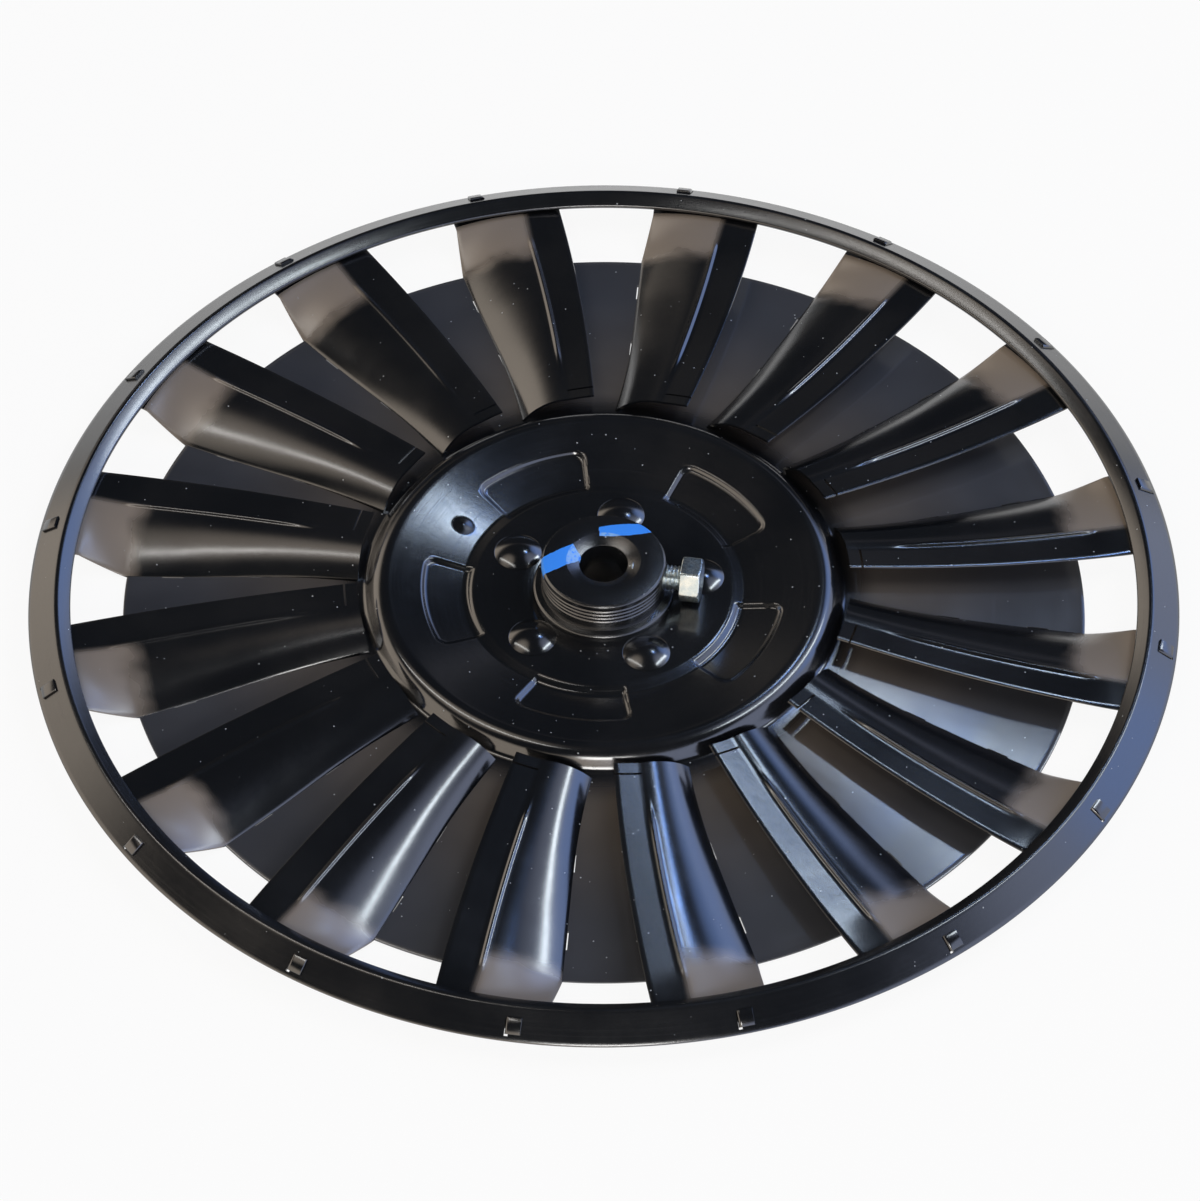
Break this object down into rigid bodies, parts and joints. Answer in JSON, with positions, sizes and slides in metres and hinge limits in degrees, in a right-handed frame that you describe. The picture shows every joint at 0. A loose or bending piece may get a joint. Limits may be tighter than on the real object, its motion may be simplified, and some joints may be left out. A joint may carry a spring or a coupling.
{
  "type": "fan impeller",
  "caption": "Gloss black sheet-metal fan wheel: domed back plate, folded swept blades, conical front ring and a riveted hub with a set screw.",
  "frame": {"origin": "on the shaft axis, in the plane of the back plate's rear rim", "axes": "+Z along the shaft axis towards the air inlet and the hub's open end; +X and +Y across the wheel"},
  "size_m": [0.4499, 0.45, 0.0298],
  "materials": {
    "black_sheet": "gloss",
    "black_hub": "gloss",
    "black_rivet": "gloss",
    "zinc_screw": "satin, zinc plated"
  },
  "bodies": {
    "root": {"backplate": "black_sheet", "front_ring": "black_sheet", "blade_01": "black_sheet", "blade_02": "black_sheet", "blade_03": "black_sheet", "blade_04": "black_sheet", "blade_05": "black_sheet", "blade_06": "black_sheet", "blade_07": "black_sheet", "blade_08": "black_sheet", "blade_09": "black_sheet", "blade_10": "black_sheet", "blade_11": "black_sheet", "blade_12": "black_sheet", "blade_13": "black_sheet", "blade_14": "black_sheet", "blade_15": "black_sheet", "blade_16": "black_sheet", "hub": "black_hub", "rivets": "black_rivet", "set_screw": "zinc_screw"}
  },
  "joints": []
}
